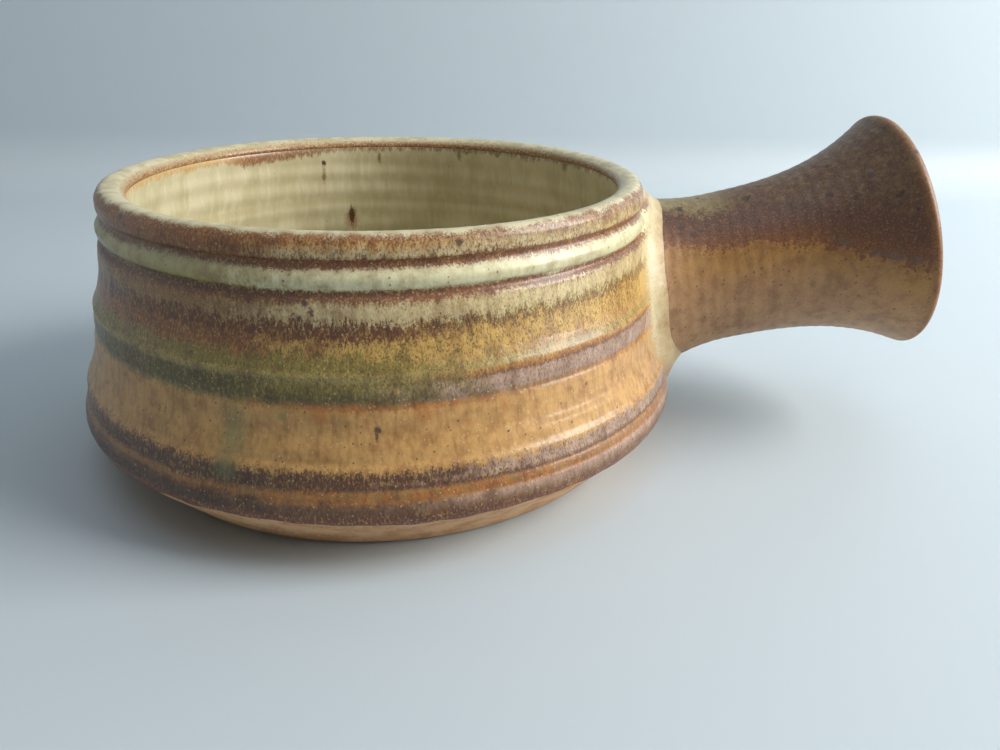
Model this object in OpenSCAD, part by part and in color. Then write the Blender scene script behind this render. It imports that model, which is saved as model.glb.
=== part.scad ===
// A stoneware bowl thrown on the wheel, with a hollow thrown handle luted to its side.
// Millimetres. The bowl's axis is Z, it stands on z = 0, and the handle leaves it along +X.

/* [Bowl] */
// Diameter at the widest line, low on the belly
belly_d = 132; // [122:0.5:150]
// Height of the widest line above the table
belly_h = 13.2; // [10:0.1:16]
// Radius of the round between the bevel and the wall
belly_round = 5.5; // [4:0.5:9]
// Diameter of the ring that the bowl stands on
foot_d = 112; // [96:0.2:120]
// Height from the table to the top of the lip
bowl_h = 58.4; // [54:0.2:70]
// Outside diameter just under the lip
rim_d = 113.6; // [104:0.2:118]
// Diameter where the lines of the lower and the upper wall would cross
wall_turn_d = 118.4; // [112:0.2:124]
// Height where those two lines would cross
wall_turn_h = 33.6; // [28:0.1:42]

/* [Clay thickness] */
// Thickness of the wall half way up
wall_t = 5; // [3.5:0.1:7]
// Thickness of the clay at the widest line
belly_t = 7.5; // [6:0.1:10]
// Thickness of the floor
floor_t = 6; // [4:0.1:9]
// Radius between the floor and the wall inside
corner_round = 12; // [8:0.5:15]

/* [Lip] */
// Width of the rounded lip
lip_w = 5.7; // [4.5:0.1:7]
// Distance from the outside of the lip to its highest line
lip_crest_in = 1.8; // [1:0.1:3]
// Height of the rounded part of the lip
lip_h = 2.3; // [1.5:0.1:3.5]

/* [Foot] */
// Width of the small chamfer at the table
foot_edge = 0.6; // [0.3:0.1:1.2]
// Width of the ring left round the turned recess
foot_ring_w = 9; // [6:0.5:14]
// Depth of the turned recess underneath
recess_h = 1.5; // [0.8:0.1:2.5]
// Width of the slope at the edge of the recess
recess_slope = 1.5; // [0.5:0.1:3]

/* [Throwing rings] */
// Drop from the top of the lip to the upper groove
groove_1_drop = 5.1; // [4:0.1:6]
// Drop from the top of the lip to the lower groove
groove_2_drop = 9.6; // [8.5:0.1:12]
// Width of each groove
groove_w = 2.4; // [1.6:0.1:3.2]
// Depth of each groove
groove_depth = 0.8; // [0.3:0.05:1.2]
// Swell of the band between the two grooves
band_swell = 0.35; // [0:0.05:0.8]
// Height of the broad ring round the middle of the wall
ring_at = 35.5; // [33:0.1:38]
// Width of the broad ring
ring_w = 8.5; // [6:0.1:11]
// Swell of the broad ring
ring_swell = 0.6; // [0.2:0.05:1.2]
// Height of the ridge over the belly
ridge_at = 20; // [18:0.1:22]
// Width of the ridge over the belly
ridge_w = 3.4; // [2.4:0.1:5]
// Swell of the ridge over the belly
ridge_swell = 0.5; // [0.1:0.05:0.9]
// Height of the hollow between the broad ring and the ridge
hollow_at = 26.2; // [24:0.1:28]
// Width of that hollow
hollow_w = 7; // [4:0.1:9]
// Depth of that hollow
hollow_depth = 0.35; // [0.1:0.05:0.7]
// Height of the narrow channel between the ridge and the belly
channel_at = 17.6; // [16.5:0.1:19]
// Width of the narrow channel
channel_w = 1.8; // [1.2:0.1:2.6]
// Depth of the narrow channel
channel_depth = 0.35; // [0.1:0.05:0.6]

/* [Handle] */
// Height at which the handle's axis leaves the wall
root_h = 33.8; // [31:0.1:36]
// Angle at which the handle rises
rise = 12.9; // [5:0.1:20]
// Length from the wall to the open end, along the axis
handle_l = 55.3; // [44:0.1:80]
// Diameter where the handle meets the wall
root_d = 39.4; // [34:0.2:41]
// Diameter at the waist
waist_d = 33.6; // [28:0.2:36]
// Distance from the wall to the waist
waist_at = 15.4; // [10:0.1:20]
// Diameter of the flared end
flare_d = 51.6; // [42:0.2:60]
// How late the flare opens, where 2 is an even curve
flare_bend = 2.9; // [1.8:0.1:3.4]
// Thickness of the handle's wall
handle_t = 4.4; // [3:0.1:6]
// Radius of the rounded edge at the open end
end_round = 1.9; // [1:0.1:2.1]

/* [Joint] */
// Reach of the clay fillet along the wall and along the handle
fillet_leg = 3.4; // [2:0.1:4.5]
// Thickness left at the fillet's smoothed edges
fillet_edge = 0.15; // [0.1:0.05:0.3]

/* [Hidden] */
$fn = 96;

belly_r = belly_d / 2;
foot_r = foot_d / 2;
rim_r = rim_d / 2;
rim_z = bowl_h - lip_h;
floor_z = recess_h + floor_t;

// The round of the belly and the inside corner are circles that the wall's lines touch
belly_c = [belly_r - belly_round, belly_h];
wall_turn = [wall_turn_d / 2, wall_turn_h];
wall_turn_in = wall_turn - [wall_t, 0];
// The inside corner is rounded as far as the wall above it leaves room
corner_side = belly_r - belly_t - wall_turn_in.x;
corner_rise = wall_turn_in.y - floor_z;
corner_room = corner_side + corner_rise - sqrt(2 * max(0, corner_side * corner_rise));
corner_r = min(corner_round, corner_room);
corner_c = [belly_r - belly_t - corner_r, floor_z + corner_r];
rim_out = [rim_r, rim_z];
rim_in = [rim_r - lip_w, rim_z];
foot_out = [foot_r, foot_edge];

// Angle on the circle (c, r) of the point where a line from p touches it
function touch_a(p, c, r, side) =
    let (v = p - c)
    atan2(v.y, v.x) + side * acos(min(1, r / norm(v)));
function on_circle(c, r, a) = c + r * [cos(a), sin(a)];

bevel_a = touch_a(foot_out, belly_c, belly_round, 1);
wall_a = touch_a(wall_turn, belly_c, belly_round, -1);
corner_a = touch_a(wall_turn_in, corner_c, corner_r, -1);
bevel_top = on_circle(belly_c, belly_round, bevel_a);
wall_foot = on_circle(belly_c, belly_round, wall_a);
corner_top = on_circle(corner_c, corner_r, corner_a);

// Radius at height z on the curve from a to b that heads for c at both its ends
function curve_r(a, c, b, z) =
    let (
        k = a.y - 2 * c.y + b.y,
        h = c.y - a.y,
        t = abs(k) < 0.001 ? (z - a.y) / (2 * h) : (sqrt(h * h + k * (z - a.y)) - h) / k
    )
    (1 - t) * (1 - t) * a.x + 2 * t * (1 - t) * c.x + t * t * b.x;

// Each throwing ring: height, half its width, and how far it stands out or cuts in
groove_1_at = bowl_h - groove_1_drop;
groove_2_at = bowl_h - groove_2_drop;
rings = [
    [groove_1_at, groove_w / 2, -groove_depth],
    [groove_2_at, groove_w / 2, -groove_depth],
    [(groove_1_at + groove_2_at) / 2, (groove_1_at - groove_2_at - groove_w) / 2, band_swell],
    [ring_at, ring_w / 2, ring_swell],
    [hollow_at, hollow_w / 2, -hollow_depth],
    [ridge_at, ridge_w / 2, ridge_swell],
    [channel_at, channel_w / 2, -channel_depth]
];
function swell(x) = abs(x) < 1 ? (1 + cos(180 * x)) / 2 : 0;
function sum(v, i = 0) = i < len(v) ? v[i] + sum(v, i + 1) : 0;
function relief(z) = sum([for (g = rings) g[2] * swell((z - g[0]) / g[1])]);

// Outside radius of the bowl at height z, from the foot's edge to the top of the lip
function outer_r(z) =
    z < bevel_top.y ?
        foot_r + (bevel_top.x - foot_r) * (z - foot_edge) / (bevel_top.y - foot_edge)
    : z < wall_foot.y ?
        belly_c.x + sqrt(max(0, pow(belly_round, 2) - pow(z - belly_h, 2)))
    : z < rim_z ?
        curve_r(wall_foot, wall_turn, rim_out, z) + relief(z)
    :
        rim_r - lip_crest_in * (1 - sqrt(max(0, 1 - pow((z - rim_z) / lip_h, 2))));

function sorted(v) =
    len(v) < 2 ? v :
    concat(
        sorted([for (x = v) if (x < v[0]) x]),
        [v[0]],
        sorted([for (x = v) if (x > v[0]) x])
    );
// Heights at which the outside of the wall is drawn: even steps, and eight more across each ring
wall_step = 2;
least_step = 0.25;
wall_heights = sorted(concat(
    [for (g = rings) for (k = [-1 : 0.25 : 1]) g[0] + k * g[1]],
    [for (z = [wall_foot.y + wall_step : wall_step : rim_z - 1]) z]
));
wall_draw = [
    for (i = [0 : len(wall_heights) - 1])
        let (z = wall_heights[i])
        if (z > wall_foot.y + least_step && z < rim_z - least_step
            && (i == 0 || z - wall_heights[i - 1] > least_step)) z
];

arc_steps = 8;
outer_points = concat(
    [[foot_r - foot_edge, 0], foot_out],
    [for (i = [0 : arc_steps])
        on_circle(belly_c, belly_round, bevel_a + (wall_a - bevel_a) * i / arc_steps)],
    [for (z = wall_draw) [outer_r(z), z]],
    [for (i = [0 : arc_steps])
        rim_out + [lip_crest_in * (cos(90 * i / arc_steps) - 1), lip_h * sin(90 * i / arc_steps)]]
);
inner_points = concat(
    [for (i = [arc_steps - 1 : -1 : 0])
        rim_in + [(lip_w - lip_crest_in) * (1 - cos(90 * i / arc_steps)), lip_h * sin(90 * i / arc_steps)]],
    [for (i = [1 : arc_steps])
        let (z = rim_z + (corner_top.y - rim_z) * i / arc_steps)
        [curve_r(corner_top, wall_turn_in, rim_in, z), z]],
    [for (i = [arc_steps - 1 : -1 : 0])
        on_circle(corner_c, corner_r, -90 + (corner_a + 90) * i / arc_steps)]
);
recess_points = [
    [0, recess_h],
    [foot_r - foot_ring_w - recess_slope, recess_h],
    [foot_r - foot_ring_w, 0]
];

// The handle's own frame: x runs along its axis from the wall, phi turns from +Y to the top
wall_at = [outer_r(root_h), 0, root_h];
axis_dir = [cos(rise), 0, sin(rise)];
up_dir = [-sin(rise), 0, cos(rise)];
function handle_point(x, r, phi) =
    wall_at + x * axis_dir + r * cos(phi) * [0, 1, 0] + r * sin(phi) * up_dir;
flare_at = handle_l - end_round;
function handle_r(x) =
    x < waist_at ?
        waist_d / 2 + (root_d - waist_d) / 2 * pow((waist_at - max(x, 0)) / waist_at, 2)
    :
        waist_d / 2 + (flare_d - waist_d) / 2 * pow((x - waist_at) / (flare_at - waist_at), flare_bend);

// The root starts well inside the bowl's outline, which then cuts it to a saddle
root_from = -root_d / 2;
handle_steps = 22;
handle_xs = [for (i = [0 : handle_steps]) flare_at * i / handle_steps];
end_r = flare_d / 2 - end_round;
bore_end_r = flare_d / 2 - handle_t + end_round;
handle_outer = concat(
    [[handle_r(0), root_from]],
    [for (x = handle_xs) [handle_r(x), x]],
    [for (i = [1 : arc_steps]) on_circle([end_r, flare_at], end_round, 90 * i / arc_steps)]
);
handle_bore = concat(
    [for (i = [0 : arc_steps])
        on_circle([bore_end_r, flare_at], end_round, 90 + 90 * i / arc_steps)],
    [for (i = [handle_steps - 1 : -1 : 0]) [handle_r(handle_xs[i]) - handle_t, handle_xs[i]]],
    [[handle_r(0) - handle_t, root_from]]
);

// The radii of the bowl and of the handle as they are drawn, which the fillet is laid on
drawn_wall = [for (p = outer_points) [p.y, p.x]];
drawn_handle = [for (p = handle_outer) if (p.y < flare_at) [p.y, p.x]];
function drawn_r(x) = lookup(x, drawn_handle);

// Distance along the handle at which a line at radius r from its axis meets the bowl's wall
function wall_x(r, phi, x = 0, tries = 8) =
    tries == 0 ? x :
    let (p = handle_point(x, r, phi))
    wall_x(r, phi, x + lookup(p.z, drawn_wall) - norm([p.x, p.y]), tries - 1);

// One section of the fillet: the hollow curve from handle to wall, then back along both of them.
// The curve is set by its distances from the wall and from the handle, so it rides over the rings.
// The bed lies bed_gap off both surfaces, because its facets cut a little inside their rounds.
fillet_turns = 90;
fillet_steps = 8;
wall_bed_steps = 6;
handle_bed_steps = 3;
bed_gap = 0.1;
function fillet_section(phi) =
    let (
        x0 = wall_x(root_d / 2, phi) + bed_gap,
        r0 = drawn_r(x0) + bed_gap,
        on_handle = [fillet_leg, fillet_edge],
        corner = [fillet_edge, fillet_edge],
        on_wall = [fillet_edge, fillet_leg]
    )
    concat(
        [for (i = [0 : fillet_steps])
            let (
                t = i / fillet_steps,
                off = (1 - t) * (1 - t) * on_handle + 2 * t * (1 - t) * corner + t * t * on_wall,
                x = wall_x(r0 + off.y, phi) + bed_gap + off.x
            )
            [x, drawn_r(x) + bed_gap + off.y]],
        [for (i = [0 : wall_bed_steps])
            let (r = r0 + fillet_leg * (1 - i / wall_bed_steps))
            [wall_x(r, phi) + bed_gap, r]],
        [for (i = [1 : handle_bed_steps])
            let (x = x0 + fillet_leg * i / handle_bed_steps)
            [x, drawn_r(x) + bed_gap]]
    );
section_n = fillet_steps + wall_bed_steps + handle_bed_steps + 2;
fillet_points = [
    for (k = [0 : fillet_turns - 1])
        let (phi = 360 * k / fillet_turns)
        for (q = fillet_section(phi)) handle_point(q.x, q.y, phi)
];
function fillet_at(k, j) = (k % fillet_turns) * section_n + j % section_n;
fillet_faces = [
    for (k = [0 : fillet_turns - 1])
        for (j = [0 : section_n - 1])
            for (f = [
                [fillet_at(k, j), fillet_at(k, j + 1), fillet_at(k + 1, j)],
                [fillet_at(k + 1, j), fillet_at(k, j + 1), fillet_at(k + 1, j + 1)]
            ]) f
];

// Everything inside the bowl's outline, which cuts what is luted to it
module bowl_outline() {
    rotate_extrude() polygon(concat([[0, 0]], outer_points, [[0, bowl_h]]));
}

module place_handle() {
    translate(wall_at) rotate([0, 90 - rise, 0]) children();
}

// The thrown body, with its lip, grooves and turned foot
module bowl() {
    color([0.74, 0.58, 0.37])
        rotate_extrude() polygon(concat(recess_points, outer_points, inner_points, [[0, floor_z]]));
}

// The handle: a thrown trumpet, hollow and open at the flared end, its root cut to the wall
module handle() {
    color([0.50, 0.35, 0.21]) difference() {
        place_handle() rotate_extrude() polygon(concat(handle_outer, handle_bore));
        bowl_outline();
    }
}

// The roll of clay worked into the seam between the handle and the wall
module joint_fillet() {
    color([0.82, 0.77, 0.64]) polyhedron(points = fillet_points, faces = fillet_faces);
}

bowl();
handle();
joint_fillet();
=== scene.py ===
import math

import bpy
import numpy as np
from mathutils import Matrix, Vector
from mathutils.bvhtree import BVHTree


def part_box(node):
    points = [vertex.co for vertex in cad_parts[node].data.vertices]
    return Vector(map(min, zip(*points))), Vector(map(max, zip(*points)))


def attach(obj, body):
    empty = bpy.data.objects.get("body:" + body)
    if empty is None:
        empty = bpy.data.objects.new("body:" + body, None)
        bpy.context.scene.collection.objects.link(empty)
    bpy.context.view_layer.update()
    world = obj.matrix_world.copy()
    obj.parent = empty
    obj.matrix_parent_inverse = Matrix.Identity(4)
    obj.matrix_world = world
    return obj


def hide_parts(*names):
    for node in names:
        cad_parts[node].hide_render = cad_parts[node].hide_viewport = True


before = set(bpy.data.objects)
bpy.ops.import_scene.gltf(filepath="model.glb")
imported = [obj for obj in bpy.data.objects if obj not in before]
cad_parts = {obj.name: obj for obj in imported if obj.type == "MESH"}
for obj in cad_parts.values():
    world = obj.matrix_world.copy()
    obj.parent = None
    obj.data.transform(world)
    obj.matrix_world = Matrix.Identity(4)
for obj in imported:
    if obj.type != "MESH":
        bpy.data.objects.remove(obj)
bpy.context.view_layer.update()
mm = 0.001

# The thrown body. It is one piece of toasted stoneware, seen bare only on the turned foot, the
# bevel above it and the shallow recess underneath. The rest of it lies under the glaze.
lip_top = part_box("bowl")[1]
bowl_top = lip_top[2]
widest = lip_top[1]
lip_round = 2.3 * mm
rim_z = bowl_top - lip_round
looks_around = 24


def skin_of(node):
    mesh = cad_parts[node].data
    return BVHTree.FromPolygons([v.co for v in mesh.vertices], [tuple(p.vertices) for p in mesh.polygons])


bowl_skin = skin_of("bowl")


def seen_from(r, z, out_r, out_z):
    """How far the bowl's surface lies from (radius, height) in the direction (out_r, out_z)."""
    far = 0
    for k in range(looks_around):
        turn = 2 * math.pi * (k + 0.37) / looks_around
        around = Vector((math.cos(turn), math.sin(turn), 0))
        ray = around * out_r + Vector((0, 0, out_z))
        hit = bowl_skin.ray_cast(around * r + Vector((0, 0, z)), ray)
        if hit[3] is not None:
            far = max(far, hit[3])
    return far


def even_line(points, step, soft):
    """The line through points again, at even steps, with corners rounded over about soft."""
    length = np.concatenate([[0], np.cumsum(np.hypot(*np.diff(points, axis=0).T))])
    s = np.linspace(0, length[-1], int(length[-1] / step) + 1)
    line = np.stack([np.interp(s, length, points[:, k]) for k in range(2)], 1)
    reach = int(3 * soft / step)
    bell = np.exp(-0.5 * (np.arange(-reach, reach + 1) * step / soft) ** 2)
    padded = np.concatenate([2 * line[0] - line[reach:0:-1], line, 2 * line[-1] - line[-2:-reach - 2:-1]])
    return s, np.stack([np.convolve(padded[:, k], bell / bell.sum(), "valid") for k in range(2)], 1)


# The bowl's outline from the middle of the underside, round the foot, up the wall, over the lip
# and down inside to the middle of the floor, as radius and height
far_off = 0.2
heart = 40 * mm
foot_r = 55.4 * mm
lip_r = widest * 0.818
under = [(r, seen_from(r, -far_off, 0, 1) - far_off) for r in np.arange(0, foot_r, 0.5 * mm)]
outside = [
    (min(seen_from(far_off, z, -1, 0), far_off), z) for z in np.arange(0.3 * mm, rim_z, 0.35 * mm)
]
outside = [(max(0, far_off - d), z) for d, z in outside]
lip = [
    (lip_r + d * math.cos(a), rim_z + d * math.sin(a))
    for a in np.radians(np.arange(6, 176, 5))
    for d in [seen_from(lip_r, rim_z, math.cos(a), math.sin(a))]
]
inside = [
    (d * math.cos(a), heart + d * math.sin(a))
    for a in np.radians(np.arange(16.5, -90.5, -0.5))
    for d in [seen_from(0, heart, math.cos(a), math.sin(a))]
]
line_step = 0.1 * mm
along, outline = even_line(np.array(under + outside + lip + inside), line_step, 0.3 * mm)
outline[:, 0] = np.maximum(outline[:, 0], 0)
outline[:, 1] = np.maximum(outline[:, 1], 0)
slope = np.gradient(outline, along, axis=0)
slope /= np.hypot(*slope.T)[:, None]
crest = int(outline[:, 1].argmax())


def place_at(height, inner=False):
    """Distance along the outline at which it passes this height, outside or inside."""
    part = slice(crest, None) if inner else slice(None, crest)
    low = np.argmin(np.abs(outline[part, 1] - height) + (outline[part, 0] < 40 * mm))
    return along[part][low]


def on_outline(s, proud):
    """Radius and height of the outline at s, moved out by proud."""
    r, z = (np.interp(s, along, outline[:, k]) for k in range(2))
    dr, dz = (np.interp(s, along, slope[:, k]) for k in range(2))
    return r + proud * dz, z - proud * dr


def ripple(around, up, seed, turns, per_mm, count=28):
    """Smooth unevenness of about one either way: a sum of waves, with whole ones around."""
    dice = np.random.default_rng(seed)
    total = 0
    for _ in range(count):
        lobes = dice.integers(-turns, turns + 1)
        rate = dice.uniform(-1, 1) * per_mm * 2 * math.pi / mm
        total = total + np.cos(lobes * around + rate * up + dice.uniform(0, 2 * math.pi))
    return total / math.sqrt(count)


def bump_at(x, middle, half):
    """A smooth rise to one at the middle, and back to nothing half to either side."""
    u = np.clip(np.abs(x - middle) / half, 0, 1)
    return 0.5 + 0.5 * np.cos(math.pi * u)


def turned_mesh(name, rings, ends, seen, strips):
    """A closed mesh of rings of points. ends is "loop", where the last ring joins the first, or
    "points", where both end rings are single points. seen says which rows of faces show, and
    the map that the finish is baked through gives them nearly all its room, in strips."""
    rows, cols = rings.shape[:2]
    if ends == "points":
        points = np.concatenate([rings[:1, 0], rings[1:-1].reshape(-1, 3), rings[-1:, 0]])
        index = 1 + np.arange((rows - 2) * cols).reshape(rows - 2, cols)
        index = np.concatenate([np.zeros((1, cols), int), index, np.full((1, cols), len(points) - 1)])
    else:
        points = rings.reshape(-1, 3)
        index = np.arange(rows * cols).reshape(rows, cols)
        index = np.concatenate([index, index[:1]])
        rings = np.concatenate([rings, rings[:1]])
    size = np.linalg.norm(np.diff(rings, axis=0), axis=2).mean(1)
    share = np.cumsum(np.concatenate([[0], size * np.where(seen, 1, 0.03)]))
    share /= share[-1]
    in_strip = cols // strips
    gap = 0.006
    faces, corners = [], []
    for i in range(len(index) - 1):
        for j in range(cols):
            k = (j + 1) % cols
            strip, place = divmod(j, in_strip)
            left, right = gap + (1 - 2 * gap) * place / in_strip, gap + (1 - 2 * gap) * (place + 1) / in_strip
            low, high = (strip + gap + (1 - 2 * gap) * share[i + e] for e in (0, 1))
            face = [index[i, j], index[i, k], index[i + 1, k], index[i + 1, j]]
            uv = [(left, low), (right, low), (right, high), (left, high)]
            if face[0] == face[1]:
                face, uv = face[1:], uv[1:]
            elif face[2] == face[3]:
                face, uv = face[:3], uv[:3]
            faces.append(face)
            corners.extend((u, v / strips) for u, v in uv)
    mesh = bpy.data.meshes.new(name)
    mesh.from_pydata([tuple(p) for p in points], [], faces)
    mesh.uv_layers.new(name="OFBake").data.foreach_set("uv", np.array(corners).ravel())
    mesh.shade_smooth()
    piece = bpy.data.objects.new(name, mesh)
    bpy.context.collection.objects.link(piece)
    return piece


def spun(s, proud, around):
    """Rings of points at s along the outline, moved out by proud, for each angle around."""
    r, z = on_outline(s, proud)
    r, z, around = np.broadcast_arrays(np.clip(r, 0, widest - 0.02 * mm), np.maximum(z, 0), around)
    return np.stack([r * np.cos(around), r * np.sin(around), z], -1)


def angles(count):
    return np.linspace(-math.pi, math.pi, count, endpoint=False)[None, :]


glaze_line = place_at(11 * mm)
glaze_deep = 0.45 * mm
clay_under = 0.40 * mm
core_deep = 1.5 * mm
hidden_from = glaze_line + 0.5 * mm
clay_seen = np.concatenate([
    np.arange(0, 45 * mm, 1.5 * mm),
    np.arange(45 * mm, hidden_from, 0.35 * mm),
])
clay_hidden = np.linspace(hidden_from, along[-1], 110)
clay_s = np.concatenate([clay_seen, clay_hidden])[:, None]
around = angles(360)
clay_proud = np.interp(
    clay_s,
    [0, place_at(1 * mm), place_at(4 * mm), hidden_from, hidden_from + 1.5 * mm],
    [0, 0, -clay_under, -clay_under, -core_deep],
)
clay_turned = np.interp(clay_s, [0, 40 * mm, 60 * mm, hidden_from, hidden_from + 1 * mm], [1, 1, 1, 1, 0])
tool_marks = 0.05 * mm * np.sin(2 * math.pi * clay_s / (1.9 * mm) + around)
tool_marks = tool_marks * ripple(around, clay_s, 3, 3, 0.05)
clay_rings = spun(clay_s, clay_proud + clay_turned * (tool_marks - 0.03 * mm), around)
clay_body = turned_mesh("clay_body", clay_rings, "points", (clay_s[:-1, 0] < hidden_from), 2)


def paint(red, green, blue):
    """A colour as it looks, in steps of 255, turned to the light it gives back."""
    steps = [c / 255 for c in (red, green, blue)]
    return [c / 12.92 if c < 0.04045 else ((c + 0.055) / 1.055) ** 2.4 for c in steps] + [1]


class Finish:
    """A finish made of nodes over places in millimetres. Each call adds some and gives their output."""

    def __init__(self, name):
        self.material = bpy.data.materials.new(name)
        self.material.use_nodes = True
        self.nodes = self.material.node_tree.nodes
        self.links = self.material.node_tree.links
        self.shader = self.nodes["Principled BSDF"]
        self.place = self.vector("SCALE", self.add("ShaderNodeTexCoord").outputs["Object"], scale=1 / mm)

    def add(self, kind, **settings):
        node = self.nodes.new(kind)
        for key, value in settings.items():
            setattr(node, key, value)
        return node

    def feed(self, socket, value):
        if isinstance(value, bpy.types.NodeSocket):
            self.links.new(value, socket)
        else:
            socket.default_value = value

    def vector(self, operation, a, b=None, scale=None):
        node = self.add("ShaderNodeVectorMath", operation=operation)
        self.feed(node.inputs[0], a)
        if b is not None:
            self.feed(node.inputs[1], b)
        if scale is not None:
            node.inputs["Scale"].default_value = scale
        return node.outputs["Value" if operation == "DOT_PRODUCT" else "Vector"]

    def sum(self, operation, a, b=0.0, c=0.0, clamp=False):
        node = self.add("ShaderNodeMath", operation=operation, use_clamp=clamp)
        for socket, value in zip(node.inputs, (a, b, c)):
            self.feed(socket, value)
        return node.outputs[0]

    def split(self, vector):
        node = self.add("ShaderNodeSeparateXYZ")
        self.feed(node.inputs[0], vector)
        return node.outputs

    def blend(self, share, a, b, how="MIX"):
        node = self.add("ShaderNodeMix", data_type="RGBA", blend_type=how)
        self.feed(node.inputs[0], share)
        self.feed(node.inputs[6], a)
        self.feed(node.inputs[7], b)
        return node.outputs[2]

    def cloud(self, size, stretch=1.0, detail=2.0, harsh=0.5, shift=0.0):
        """Soft noise of about 0.3 to 0.7 with lumps of this size, stretch times as tall."""
        where = self.vector("MULTIPLY", self.place, (1 / size, 1 / size, 1 / size / stretch))
        where = self.vector("ADD", where, (shift, shift * 2, shift * 3))
        node = self.add("ShaderNodeTexNoise")
        self.feed(node.inputs["Vector"], where)
        node.inputs["Scale"].default_value = 1
        node.inputs["Detail"].default_value = detail
        node.inputs["Roughness"].default_value = harsh
        return node.outputs[0]

    def swing(self, noise, by):
        """Noise turned into about by either way."""
        return self.sum("MULTIPLY", self.sum("SUBTRACT", noise, 0.5), by * 4)

    def ease(self, x, low, high):
        """Nothing below low, one above high, and smooth between."""
        node = self.add("ShaderNodeMapRange", interpolation_type="SMOOTHSTEP")
        for socket, value in zip(node.inputs, (x, low, high, 0.0, 1.0)):
            self.feed(socket, value)
        return node.outputs[0]

    def ramp(self, x, low, high, stops):
        """Colours laid out over x from low to high. A stop is a place and a colour."""
        node = self.add("ShaderNodeValToRGB")
        self.feed(node.inputs[0], self.sum("DIVIDE", self.sum("SUBTRACT", x, low), high - low))
        marks = node.color_ramp.elements
        while len(marks) < len(stops):
            marks.new(1)
        for mark, (place, colour) in zip(marks, stops):
            mark.position = (place - low) / (high - low)
        for mark, (place, colour) in zip(marks, stops):
            mark.color = colour
        return node.outputs[0]

    def curve(self, x, low, high, stops):
        """Plain numbers laid out in the same way, each from nothing to one."""
        return self.ramp(x, low, high, [(place, [value] * 3 + [1]) for place, value in stops])

    def specks(self, spacing, least, most, stretch=1.0, shift=0.0):
        """Small round dots, one at most in each cell of this spacing."""
        where = self.vector("MULTIPLY", self.place, (1 / spacing, 1 / spacing, 1 / spacing / stretch))
        where = self.vector("ADD", where, (shift, shift, shift))
        node = self.add("ShaderNodeTexVoronoi")
        self.feed(node.inputs["Vector"], where)
        node.inputs["Scale"].default_value = 1
        luck = self.split(node.outputs["Color"])[0]
        size = self.sum("MULTIPLY_ADD", luck, most - least, least)
        edge = self.sum("DIVIDE", node.outputs["Distance"], self.sum("MAXIMUM", size, 0.0001))
        return self.sum("SUBTRACT", 1.0, self.ease(edge, 0.6, 1.0))

    def dabs(self, spots, ragged, softness=0.5):
        """Marks at chosen places. A spot is its middle, half its width and half its height."""
        found = 0.0
        for middle, wide, tall in spots:
            reach = self.vector("SUBTRACT", self.place, tuple(middle))
            reach = self.vector("MULTIPLY", reach, (1 / wide, 1 / wide, 1 / tall))
            length = self.add("ShaderNodeVectorMath", operation="LENGTH")
            self.feed(length.inputs[0], reach)
            edge = self.sum("ADD", length.outputs["Value"], ragged)
            found = self.sum("MAXIMUM", found, self.sum("SUBTRACT", 1.0, self.ease(edge, 1 - softness, 1.1)))
        return found

    def relief(self, height, depth):
        node = self.add("ShaderNodeBump")
        node.inputs["Strength"].default_value = 1
        node.inputs["Distance"].default_value = depth
        self.feed(node.inputs["Height"], height)
        return node.outputs[0]

    def done(self, colour, rough, normal, coat=0.0):
        self.feed(self.shader.inputs["Base Color"], colour)
        self.feed(self.shader.inputs["Roughness"], rough)
        self.feed(self.shader.inputs["Normal"], normal)
        self.shader.inputs["Coat Weight"].default_value = coat
        self.shader.inputs["Coat Roughness"].default_value = 0.15
        return self.material


def clay_finish():
    f = Finish("toasted_stoneware")
    mottle = f.cloud(5, detail=3, harsh=0.6)
    colour = f.blend(f.ease(mottle, 0.35, 0.65), paint(188, 136, 92), paint(212, 168, 124))
    grog = f.cloud(0.5, detail=2, harsh=0.7)
    colour = f.blend(f.ease(grog, 0.52, 0.7), colour, paint(214, 178, 140))
    iron = f.specks(2.6, 0.02, 0.16)
    colour = f.blend(iron, colour, paint(92, 56, 36))
    height = f.sum("ADD", grog, f.sum("MULTIPLY", f.cloud(0.25, detail=1), 0.5))
    return f.done(colour, 0.82, f.relief(height, 0.06 * mm))


clay_body.data.materials.append(clay_finish())
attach(clay_body, "root")
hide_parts("bowl")

# The outside glaze: a satin coat, poured and dipped, that breaks over each throwing ring and runs
# down into bands. It starts in a wavy line over the bare bevel and goes over the lip.
lip_inside = place_at(rim_z - 0.4 * mm, inner=True)
coat_rows = 0.33 * mm
coat_s = np.arange(glaze_line - 1.2 * mm, lip_inside, coat_rows)
# Fine forms on top of the bowl's own: height, half the width, and how far it stands out
fine_forms = [
    (56.0, 1.7, 0.16),
    (53.6, 0.8, -0.18),
    (51.1, 1.6, 0.10),
    (48.7, 0.8, -0.18),
    (42.3, 3.5, -0.20),
    (35.8, 1.0, 0.20),
    (32.9, 1.6, 0.14),
    (30.9, 0.9, -0.16),
    (20.7, 1.0, 0.10),
    (17.2, 0.6, -0.16),
    (15.4, 0.5, -0.14),
    (12.9, 0.8, 0.10),
]


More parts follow.
